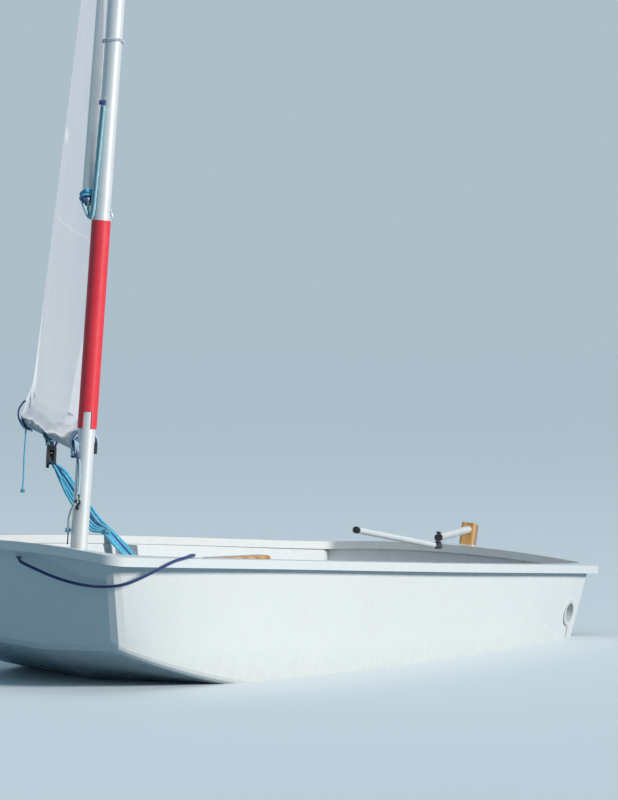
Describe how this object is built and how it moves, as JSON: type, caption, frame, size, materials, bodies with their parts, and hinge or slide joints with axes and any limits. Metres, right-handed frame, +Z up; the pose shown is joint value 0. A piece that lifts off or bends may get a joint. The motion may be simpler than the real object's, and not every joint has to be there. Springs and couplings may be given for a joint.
{
  "type": "sailing dinghy",
  "caption": "Open pram-bowed sailing dinghy with spritsail rig, swinging boom, lifting daggerboard and a rudder with tiller and extension.",
  "frame": {"origin": "on the centreline amidships at the waterline, where the dinghy floats", "axes": "+X towards the bow, +Y to port, +Z up; the boat floats level"},
  "size_m": [2.551, 1.8688, 3.93],
  "materials": {
    "hull_white": "gloss",
    "rail_white": "satin",
    "black_plastic": "matte",
    "grey_plastic": "matte",
    "varnished_wood": "satin",
    "anodised": "satin",
    "steel": "satin",
    "red_sleeve": "matte",
    "sailcloth": "matte",
    "webbing": "matte",
    "bag_white": "satin",
    "rope_navy": "matte"
  },
  "bodies": {
    "hull": {"hull_shell": "hull_white", "gunwale_rail": "rail_white", "midship_frame": "hull_white", "daggerboard_case": "hull_white", "mast_thwart": "hull_white", "mast_collar": "black_plastic", "mast_step": "hull_white", "painter_ferrule": "black_plastic", "side_drain_ports": "grey_plastic", "gudgeons": "steel", "toe_straps": "webbing", "buoyancy_bags": "bag_white", "floor_block": "black_plastic", "painter_line": "rope_navy", "painter_coil": "rope_navy"},
    "rudder": {"rudder_blade": "varnished_wood", "rudder_head": "varnished_wood", "pintles": "steel", "tiller": "anodised", "tiller_plug": "black_plastic"},
    "universal": {"tiller_universal": "black_plastic"},
    "extension": {"extension_fork": "black_plastic", "extension_tube": "anodised", "extension_grip": "black_plastic"},
    "rig": {"mast_tube": "anodised", "spar_end_caps": "black_plastic", "mast_cleat": "black_plastic", "mast_sleeve": "red_sleeve", "boom_tube": "anodised", "boom_jaw": "black_plastic", "boom_block": "black_plastic", "sprit_tube": "anodised", "sail": "sailcloth"},
    "daggerboard": {"daggerboard_blade": "varnished_wood", "daggerboard_head": "varnished_wood"}
  },
  "joints": [
    {"name": "rig_swing", "type": "hinge", "parent": "hull", "child": "rig", "pos_m": [0.8775, 0, 0.038], "axis": [-0.0349, 0, 0.9994], "range_deg": [-129, 51]},
    {"name": "daggerboard_lift", "type": "slide", "parent": "hull", "child": "daggerboard", "axis": [0, 0, 1], "range_m": [0, 0.25]},
    {"name": "rudder_turn", "type": "hinge", "parent": "hull", "child": "rudder", "pos_m": [-1.1913, 0, 0.25235], "axis": [-0.1822, 0, 0.9833], "range_deg": [-57, 13]},
    {"name": "extension_turn", "type": "hinge", "parent": "rudder", "child": "universal", "pos_m": [-0.57266, 0.25584, 0.3152], "axis": [0, 0, 1], "range_deg": [-85, 115]},
    {"name": "extension_lift", "type": "hinge", "parent": "universal", "child": "extension", "pos_m": [-0.57266, 0.25584, 0.3152], "axis": [0.1219, -0.9925, 0], "range_deg": [0, 24]}
  ]
}
